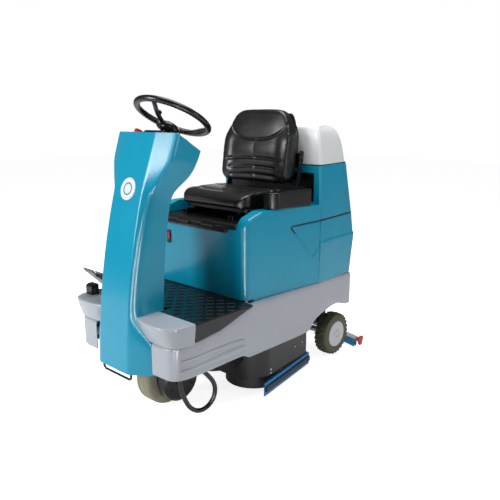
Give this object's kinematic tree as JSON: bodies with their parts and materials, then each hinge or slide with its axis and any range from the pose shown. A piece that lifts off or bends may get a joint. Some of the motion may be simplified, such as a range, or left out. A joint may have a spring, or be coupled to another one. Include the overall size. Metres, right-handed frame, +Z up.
{
  "type": "ride-on floor scrubber",
  "caption": "Ride-on floor scrubber with a steered front drive wheel, tilting seat, lifting brush deck, rear squeegee and hinged tank lid.",
  "frame": {"origin": "on the floor, under the middle of the machine's length and width", "axes": "+Z up, -Y the driving direction, +X the driver's left"},
  "size_m": [0.704, 1.49, 1.3719],
  "materials": {
    "teal_moulding": "smooth gloss teal",
    "grey_moulding": "silver grey, satin gloss",
    "black_moulding": "black, fine texture",
    "black_steel": "black powder coat",
    "bare_steel": "machined",
    "alloy": "cast and brushed",
    "leather": "black vinyl leather",
    "black_rubber": "matt",
    "grey_tyre": "non-marking, beige grey",
    "tread_tyre": "treaded, olive grey",
    "blue_rubber": "polyurethane blade",
    "red_plastic": "signal red",
    "white_plastic": "plain white",
    "screen": "dark display window"
  },
  "bodies": {
    "chassis": {"chassis_frame": "black_steel", "rear_axle": "bare_steel", "lower_body": "grey_moulding", "corner_covers": "grey_moulding", "floor_pan": "black_steel", "foot_mat": "black_rubber", "cowl": "teal_moulding", "cowl_rear_cover": "black_moulding", "tow_bar": "black_steel", "steering_mast": "black_steel", "steering_chain": "bare_steel", "dashboard": "black_moulding", "dash_fittings": "bare_steel", "display_panel": "screen", "pedal_brackets": "black_steel", "seat_base": "teal_moulding", "side_insets": "teal_moulding", "consoles": "black_moulding", "batteries": "black_moulding", "rear_body": "teal_moulding", "vacuum_motor": "black_steel", "recovery_tank": "teal_moulding", "tank_front_panel": "black_moulding", "seat_hinge": "black_steel", "lift_actuator": "bare_steel", "drain_hose": "black_rubber", "hose_fittings": "black_moulding"},
    "fork": {"front_fork": "black_steel", "drive_motor": "black_steel"},
    "front_wheel": {"front_tyre": "grey_tyre", "front_rim": "alloy"},
    "rear_wheel_left": {"rear_tyre_left": "tread_tyre", "rear_rim_left": "grey_moulding"},
    "rear_wheel_right": {"rear_tyre_right": "tread_tyre", "rear_rim_right": "grey_moulding"},
    "steering": {"steering_wheel": "black_rubber", "steering_shaft": "bare_steel"},
    "horn": {"horn_button": "black_moulding"},
    "lower_steering": {"lower_shaft": "bare_steel"},
    "accelerator": {"accelerator_pedal": "black_rubber"},
    "brake": {"brake_pedal": "black_rubber"},
    "seat_mount": {"seat_plate": "black_steel"},
    "seat": {"seat_pan": "black_steel", "seat_cushion": "leather"},
    "backrest": {"backrest_cushion": "leather", "backrest_shell": "black_moulding"},
    "lid": {"tank_lid": "grey_moulding"},
    "brush_deck": {"deck_housing": "black_steel", "brush_motors": "black_steel", "side_skirts": "blue_rubber"},
    "left_brush": {"brush_left": "blue_rubber"},
    "right_brush": {"brush_right": "blue_rubber"},
    "squeegee": {"squeegee_arm": "black_steel", "squeegee_body": "alloy", "squeegee_blades": "black_rubber", "squeegee_tips": "red_plastic"},
    "stop": {"stop_button": "red_plastic"},
    "ignition_key": {"key": "bare_steel"},
    "lever": {"gear_lever": "black_moulding"},
    "flow": {"flow_knob": "black_moulding"}
  },
  "joints": [
    {"name": "steering_turn", "type": "hinge", "parent": "chassis", "child": "steering", "pos_m": [0, -0.3785, 1.284], "axis": [0, 0.4617, 0.887], "range_deg": [-225, 225]},
    {"name": "lower_shaft_turn", "type": "hinge", "parent": "chassis", "child": "lower_steering", "pos_m": [0, -0.58998, 0.6], "axis": [0, 0, 1], "range_deg": [-225, 225]},
    {"name": "fork_steer", "type": "hinge", "parent": "chassis", "child": "fork", "pos_m": [0, -0.47, 0.3], "axis": [0, 0, 1], "range_deg": [-75, 75]},
    {"name": "front_wheel_spin", "type": "hinge", "parent": "fork", "child": "front_wheel", "pos_m": [0, -0.47, 0.135], "axis": [1, 0, 0], "continuous": true},
    {"name": "rear_wheel_left_spin", "type": "hinge", "parent": "chassis", "child": "rear_wheel_left", "pos_m": [0.256, 0.504, 0.118], "axis": [1, 0, 0], "continuous": true},
    {"name": "rear_wheel_right_spin", "type": "hinge", "parent": "chassis", "child": "rear_wheel_right", "pos_m": [-0.256, 0.504, 0.118], "axis": [1, 0, 0], "continuous": true},
    {"name": "horn_press", "type": "slide", "parent": "steering", "child": "horn", "axis": [0, -0.4617, -0.887], "range_m": [0, 0.004], "stiffness_N_per_m": 800, "springref_m": -0.002},
    {"name": "accelerator_press", "type": "hinge", "parent": "chassis", "child": "accelerator", "pos_m": [-0.2725, -0.545, 0.502], "axis": [1, 0, 0], "range_deg": [0, 10], "stiffness_Nm_per_rad": 2, "springref_deg": -22.92},
    {"name": "brake_press", "type": "hinge", "parent": "chassis", "child": "brake", "pos_m": [-0.186, -0.545, 0.502], "axis": [1, 0, 0], "range_deg": [0, 14], "stiffness_Nm_per_rad": 2.5, "springref_deg": -22.92},
    {"name": "seat_tilt", "type": "hinge", "parent": "chassis", "child": "seat_mount", "pos_m": [0, -0.263, 0.795], "axis": [1, 0, 0], "range_deg": [0, 28]},
    {"name": "seat_slide", "type": "slide", "parent": "seat_mount", "child": "seat", "axis": [0, -1, 0], "range_m": [0, 0.08]},
    {"name": "backrest_fold", "type": "hinge", "parent": "seat", "child": "backrest", "pos_m": [0, 0.19, 0.906], "axis": [1, 0, 0], "range_deg": [0, 12]},
    {"name": "lid_open", "type": "hinge", "parent": "chassis", "child": "lid", "pos_m": [0, 0.579, 1.052], "axis": [-1, 0, 0], "range_deg": [0, 75]},
    {"name": "deck_lift", "type": "slide", "parent": "chassis", "child": "brush_deck", "axis": [0, 0, 1], "range_m": [0, 0.06]},
    {"name": "left_brush_spin", "type": "hinge", "parent": "brush_deck", "child": "left_brush", "pos_m": [0.145, -0.02, 0.1], "axis": [0, 0, 1], "continuous": true},
    {"name": "right_brush_spin", "type": "hinge", "parent": "brush_deck", "child": "right_brush", "pos_m": [-0.145, -0.02, 0.1], "axis": [0, 0, 1], "continuous": true},
    {"name": "squeegee_lift", "type": "hinge", "parent": "chassis", "child": "squeegee", "pos_m": [0, 0.55, 0.24], "axis": [1, 0, 0], "range_deg": [0, 16]},
    {"name": "stop_press", "type": "slide", "parent": "chassis", "child": "stop", "axis": [0, -0.5287, -0.8488], "range_m": [0, 0.005], "stiffness_N_per_m": 600, "springref_m": -0.003},
    {"name": "key_turn", "type": "hinge", "parent": "chassis", "child": "ignition_key", "pos_m": [0.112, -0.42054, 1.16167], "axis": [0, -0.5287, -0.8488], "range_deg": [0, 80]},
    {"name": "lever_swing", "type": "hinge", "parent": "chassis", "child": "lever", "pos_m": [0.068, -0.422, 1.196], "axis": [1, 0, 0], "range_deg": [-12, 12]},
    {"name": "flow_turn", "type": "hinge", "parent": "chassis", "child": "flow", "pos_m": [-0.104, -0.42394, 1.16378], "axis": [0, -0.5287, -0.8488], "range_deg": [0, 270]}
  ],
  "couplings": [
    {"joint": "lower_shaft_turn", "follows": "steering_turn", "ratio": 1},
    {"joint": "fork_steer", "follows": "steering_turn", "ratio": 0.33333}
  ]
}
